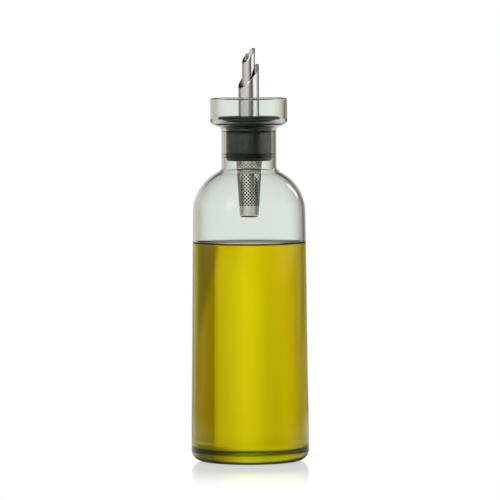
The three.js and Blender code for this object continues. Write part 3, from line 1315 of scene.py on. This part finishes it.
@dataclass
class Studio:
    """The pale plate, the soft surround, the lamps and the camera, in metres and degrees."""

    azimuth: float = -30.0
    elevation: float = 3.13
    roll: float = -0.27
    distance: float = 2.77
    lens: float = 333.7
    sensor_width: float = 36.0
    clip: Span = (0.1, 20.0)
    aim_height: float = 0.1261
    aim_right: float = 0.00036
    plate_radius: float = 0.6
    plate_sides: int = 96
    plate_gap: float = 0.0002
    plate_colour: Colour = (0.9, 0.9, 0.9, 1)
    plate_glow: Span = (1.5, 1.0)
    plate_matt: float = 0.14
    plate_ior: float = 1.45
    plate_roughness: float = 0.05
    plate_sight: float = 0.05
    mirror_fade: Span = (0.06, 0.2)
    plain_light: float = 0.6
    ceiling: Span = (10.0, 24.0)
    ceiling_share: float = 0.08
    lamps: tuple[Lamp, ...] = (
        Lamp("key_softbox", -41.0, 30.0, 1.1, (0.4, 0.45), 12.0),
        Lamp("top_softbox", 20.0, 75.0, 1.0, (0.6, 0.6), 8.0),
    )
    panels: tuple[Panel, ...] = (
        Panel(-139.0, 27.0, 10.0, 16.0, 10.0, 13.0),
        Panel(46.0, 24.0, 3.8, 9.0, 3.4, 9.0),
    )
    fall: Span = (-7.5, -3.4)
    fall_share: float = 0.82
    shade: Span = (-60.0, -25.0)
    shade_share: float = 0.1
    edge_softness: float = 0.25
    pale_floor: Span = (-10.5, -7.0)
    pale_colour: Colour = (0.86, 0.86, 0.84, 1)
    table_edge: tuple[TableEdge, ...] = (
        TableEdge(-180, 3.0),
        TableEdge(-130, 2.4),
        TableEdge(-80, 2.4),
        TableEdge(-62, 5.1),
        TableEdge(-44, 5.5),
        TableEdge(-10, 4.3),
        TableEdge(20, 3.6),
        TableEdge(27, 4.2),
        TableEdge(41, 4.8),
        TableEdge(60, 5.4),
        TableEdge(69, 2.4),
        TableEdge(125, 2.4),
        TableEdge(180, 3.0),
    )
    room: tuple[Surface, ...] = (
        Surface(-180, 0.55),
        Surface(-163, 1.0),
        Surface(-148, 0.8),
        Surface(-128, 0.85),
        Surface(-100, 0.85),
        Surface(-85, 0.7, 0.02),
        Surface(-72, 0.28, 0.08),
        Surface(-60, 0.27, 0.18),
        Surface(-48, 0.47, 0.2),
        Surface(-36, 0.66, 0.17),
        Surface(-26, 0.76, 0.15),
        Surface(-10, 0.74, 0.05),
        Surface(-3, 0.84),
        Surface(4, 0.86),
        Surface(12, 0.6, 0.07),
        Surface(18, 0.44, 0.16),
        Surface(24, 0.36, 0.27),
        Surface(28, 0.24, 0.27),
        Surface(33, 0.23, 0.2),
        Surface(43, 0.21, 0.18),
        Surface(50, 0.25, 0.1),
        Surface(58, 0.42, 0.06),
        Surface(80, 1.0),
        Surface(95, 1.5),
        Surface(112, 1.6),
        Surface(127, 1.0),
        Surface(136, 0.2),
        Surface(152, 0.12),
        Surface(166, 0.4),
        Surface(180, 0.55),
    )
    table: tuple[Surface, ...] = (
        Surface(-180, 0.8),
        Surface(-165, 1.1),
        Surface(-150, 1.0),
        Surface(-138, 0.9),
        Surface(-125, 0.7),
        Surface(-108, 0.2),
        Surface(-85, 0.2),
        Surface(-72, 0.5, 0.08),
        Surface(-60, 0.54, 0.16),
        Surface(-48, 0.48, 0.16),
        Surface(-36, 0.67, 0.12),
        Surface(-26, 0.74, 0.06),
        Surface(-18, 0.7, 0.06),
        Surface(-10, 0.74, 0.04),
        Surface(-3, 0.9),
        Surface(4, 0.94),
        Surface(12, 0.78, 0.03),
        Surface(21, 0.7, 0.08),
        Surface(25, 0.56, 0.13),
        Surface(26.8, 0.34, 0.18),
        Surface(41, 0.39, 0.18),
        Surface(58, 0.36, 0.12),
        Surface(66, 0.6, 0.04),
        Surface(71, 0.15),
        Surface(110, 0.12),
        Surface(125, 0.5),
        Surface(140, 0.3),
        Surface(152, 0.25),
        Surface(166, 0.6),
        Surface(180, 0.8),
    )

    def towards(self, bearing: float, height: float) -> Vector:
        """Direction from the bottle, by degrees to the camera's right and above the horizon."""
        turn, rise = math.radians(self.azimuth + bearing), math.radians(height)
        return Vector((math.sin(turn) * math.cos(rise), -math.cos(turn) * math.cos(rise), math.sin(rise)))

    def ring(
        self, bench: Bench, bearing: bpy.types.NodeSocket, stops: Sequence[Surface | TableEdge]
    ) -> bpy.types.NodeSocket:
        """Adds the colour of what stands round the bottle, by bearing.

        Args:
            bench: the group under construction.
            bearing: degrees to the right of straight behind the bottle.
            stops: what stands there, all the way round.

        Returns:
            The colour.
        """
        ramp = bench.add("ShaderNodeValToRGB")
        bench.feed(ramp, Fac=bench.calc("DIVIDE", bench.calc("ADD", bearing, 180.0), 360.0))
        elements = ramp.color_ramp.elements
        elements.remove(elements[-1])
        for i, stop in enumerate(stops):
            place = (stop.bearing + 180) / 360
            element = elements[0] if i == 0 else elements.new(place)
            element.position = place
            element.color = stop.colour
        return ramp.outputs["Color"]

    def surround_group(self) -> bpy.types.NodeTree:
        """Builds a shader group that gives the surround's colour in a direction.

        Returns:
            The group, with a Direction input and a Color output.
        """
        group = bpy.data.node_groups.new("studio_surround", "ShaderNodeTree")
        group.interface.new_socket("Direction", in_out="INPUT", socket_type="NodeSocketVector")
        group.interface.new_socket("Color", in_out="OUTPUT", socket_type="NodeSocketColor")
        bench = Bench(group)
        turn = bench.add("ShaderNodeMapping")
        direction = bench.add("NodeGroupInput").outputs["Direction"]
        bench.feed(turn, Vector=direction, Rotation=(0, 0, -math.radians(self.azimuth)))
        split = bench.feed(bench.add("ShaderNodeSeparateXYZ"), Vector=turn.outputs["Vector"])
        x, y, z = split.outputs
        bearing = bench.calc("DEGREES", bench.calc("ARCTAN2", x, y))
        level = bench.calc("SQRT", bench.calc("ADD", bench.calc("MULTIPLY", x, x), bench.calc("MULTIPLY", y, y)))
        height = bench.calc("DEGREES", bench.calc("ARCTAN2", z, level))
        drop = bench.calc("MULTIPLY", self.ring(bench, bearing, self.table_edge), DEEPEST)
        above = bench.calc("ADD", height, drop)
        low = bench.stretch(above, (-self.edge_softness, self.edge_softness), (1.0, 0.0))
        room, table = (self.ring(bench, bearing, stops) for stops in (self.room, self.table))
        dim = bench.stretch(height, self.ceiling, (1.0, self.ceiling_share))
        for span, share in ((self.fall, self.fall_share), (self.shade, self.shade_share)):
            dim = bench.calc("MULTIPLY", dim, bench.stretch(height, span, (share, 1.0)))
        nearby = bench.stretch(height, self.pale_floor, (1.0, 0.0))
        shade = bench.blend(nearby, bench.blend(low, room, table), self.pale_colour)
        light = bench.add("ShaderNodeVectorMath", operation="SCALE")
        bench.feed(light, Vector=shade, Scale=dim)
        colour = light.outputs["Vector"]
        mirrored = bench.add("ShaderNodeLightPath").outputs["Is Reflection Ray"]
        for panel in self.panels:
            glow = bench.calc("MULTIPLY", mirrored, panel.level)
            for value, middle, half in (
                (bearing, panel.bearing, panel.half_width),
                (height, panel.height, panel.half_height),
            ):
                away = bench.calc("ABSOLUTE", bench.calc("SUBTRACT", value, middle))
                edge = (half - panel.softness, half + panel.softness)
                glow = bench.calc("MULTIPLY", glow, bench.stretch(away, edge, (1.0, 0.0)))
            total = bench.wire(bench.add("ShaderNodeVectorMath", operation="ADD"), colour, glow)
            colour = total.outputs["Vector"]
        bench.feed(bench.add("NodeGroupOutput"), Color=colour)
        return group

    def build_world(self, group: bpy.types.NodeTree) -> None:
        """Lights the scene evenly, and shows the camera white and the clear and shiny pieces the surround.

        Args:
            group: the surround's colour by direction.
        """
        world = bpy.data.worlds.new("studio")
        bpy.context.scene.world = world
        world.use_nodes = True
        bench = Bench(world.node_tree)
        bench.tree.nodes.clear()
        camera_ray = bench.add("ShaderNodeLightPath").outputs["Is Camera Ray"]
        direction = bench.add("ShaderNodeTexCoord").outputs["Generated"]
        surround = bench.feed(bench.add("ShaderNodeGroup", node_tree=group), Direction=direction)
        plain = (self.plain_light, self.plain_light, self.plain_light, 1)
        colour = bench.blend(bench.through_pieces(), plain, surround.outputs["Color"])
        colour = bench.blend(camera_ray, colour, WHITE)
        background = bench.feed(bench.add("ShaderNodeBackground"), Color=colour)
        bench.feed(bench.add("ShaderNodeOutputWorld"), Surface=background.outputs[0])

    def plate_material(self, group: bpy.types.NodeTree) -> bpy.types.Material:
        """A white plate that takes the shadow and mirrors the bottle close to its foot.

        Args:
            group: the surround's colour by direction.

        Returns:
            The plate's material.
        """
        shading = Shading("white_plate")
        shading.tree.nodes.remove(shading.shader)
        place = shading.add("ShaderNodeTexCoord").outputs["Object"]
        camera_ray = shading.add("ShaderNodeLightPath").outputs["Is Camera Ray"]
        below = (0, 0, self.plate_sight)
        sight = shading.wire(shading.add("ShaderNodeVectorMath", operation="SUBTRACT"), place, below)
        surround = shading.add("ShaderNodeGroup", node_tree=group)
        shading.feed(surround, Direction=sight.outputs["Vector"])
        distance = shading.wire(shading.add("ShaderNodeVectorMath", operation="LENGTH"), place).outputs["Value"]
        near, strength = (
            shading.stretch(distance, self.mirror_fade, target) for target in ((1.0, 0.0), self.plate_glow)
        )
        colour = shading.blend(camera_ray, surround.outputs["Color"], WHITE)
        glow = shading.feed(shading.add("ShaderNodeEmission"), Color=colour, Strength=strength)
        matt = shading.feed(shading.add("ShaderNodeBsdfDiffuse"), Color=self.plate_colour)
        mirror = shading.feed(shading.add("ShaderNodeBsdfGlossy"), Roughness=self.plate_roughness)
        seen = shading.calc("MAXIMUM", shading.through_pieces(), camera_ray)
        pure = shading.calc("SUBTRACT", 1.0, shading.calc("MULTIPLY", near, self.plate_matt))
        fresnel = shading.feed(shading.add("ShaderNodeFresnel"), IOR=self.plate_ior)
        share, gloss = shading.calc("MULTIPLY", seen, pure), shading.calc("MULTIPLY", near, fresnel.outputs[0])
        base = shading.wire(shading.add("ShaderNodeMixShader"), share, matt.outputs[0], glow.outputs[0])
        plate = shading.wire(shading.add("ShaderNodeMixShader"), gloss, base.outputs[0], mirror.outputs[0])
        shading.feed(shading.output, Surface=plate.outputs[0])
        return shading.material

    def build_plate(self, group: bpy.types.NodeTree) -> None:
        """Builds the plate that the bottle stands on.

        Args:
            group: the surround's colour by direction.
        """
        radius, corners = self.plate_radius, range(self.plate_sides)
        rim = [math.tau * i / self.plate_sides for i in corners]
        mesh = bpy.data.meshes.new("plate")
        vertices = [(radius * math.cos(a), radius * math.sin(a), -self.plate_gap) for a in rim]
        mesh.from_pydata(vertices, [], [list(corners)])
        plate = linked("plate", mesh)
        dress(plate, self.plate_material(group))
        plate.visible_transmission = False

    def build_lamps(self) -> None:
        """Builds the soft lamps, which light the plate and the black pieces but aren't seen themselves."""
        for lamp in self.lamps:
            light = bpy.data.lights.new(lamp.name, "AREA")
            light.shape = "RECTANGLE"
            light.size, light.size_y = lamp.size
            light.energy = lamp.power
            holder = linked(lamp.name, light)
            away = self.towards(lamp.bearing, lamp.height)
            holder.location = Vector((0, 0, self.aim_height)) + away * lamp.distance
            holder.rotation_mode = "QUATERNION"
            holder.rotation_quaternion = (-away).to_track_quat("-Z", "Y")
            holder.visible_camera = False
            holder.visible_glossy = False
            holder.visible_transmission = False

    def build_camera(self) -> None:
        """Builds the camera at the photograph's viewing angle."""
        data = bpy.data.cameras.new("camera")
        data.lens, data.sensor_width = self.lens, self.sensor_width
        data.clip_start, data.clip_end = self.clip
        camera = linked("camera", data)
        back = self.towards(0.0, self.elevation)
        aim = Vector((0, 0, self.aim_height)) + self.towards(90.0, 0.0) * self.aim_right
        camera.location = aim + back * self.distance
        camera.rotation_mode = "QUATERNION"
        level = (-back).to_track_quat("-Z", "Y")
        camera.rotation_quaternion = level @ Quaternion((0, 0, 1), math.radians(self.roll))
        bpy.context.scene.camera = camera

    def build(self) -> None:
        """Builds the whole studio."""
        group = self.surround_group()
        self.build_world(group)
        self.build_plate(group)
        self.build_lamps()
        self.build_camera()


def report(pieces: Sequence[bpy.types.Object]) -> None:
    """Logs each piece with its number of faces."""
    for piece in pieces:
        log.info("%s: %d faces", piece.name, len(piece.data.polygons))


def main() -> None:
    """Builds the dispenser and the studio round it."""
    logging.basicConfig(level=logging.INFO, format="%(name)s: %(message)s")
    bpy.context.scene.view_settings.view_transform = "Standard"
    bottle = Bottle.from_frame()
    stopper = Stopper.from_frame()
    oil = OilFill(bottle)
    silicone, steel = BLACK_SILICONE.material(), POLISHED_STEEL.material()
    report(
        [
            bottle.build(CLEAR_GLASS.material(), oil.edge_height),
            oil.build(GREEN_GOLD_OIL.material()),
            stopper.build(BLACK_PLASTIC.material()),
            LipSeal.from_frame("upper_lip_seal", 1, stopper.plug_radius).build(silicone),
            LipSeal.from_frame("lower_lip_seal", 2, stopper.plug_radius).build(silicone),
            SlantedTube.from_frame("drip_tube").build(steel),
            SlantedTube.from_frame("pour_tube").build(steel),
            # The sieve's inside and hole walls get near-black painted shade.
            Sieve.from_frame().build(SIEVE_STEEL.material(), SIEVE_PAINTED_SHADE.material()),
        ]
    )
    Studio().build()


if __name__ == "__main__":
    main()
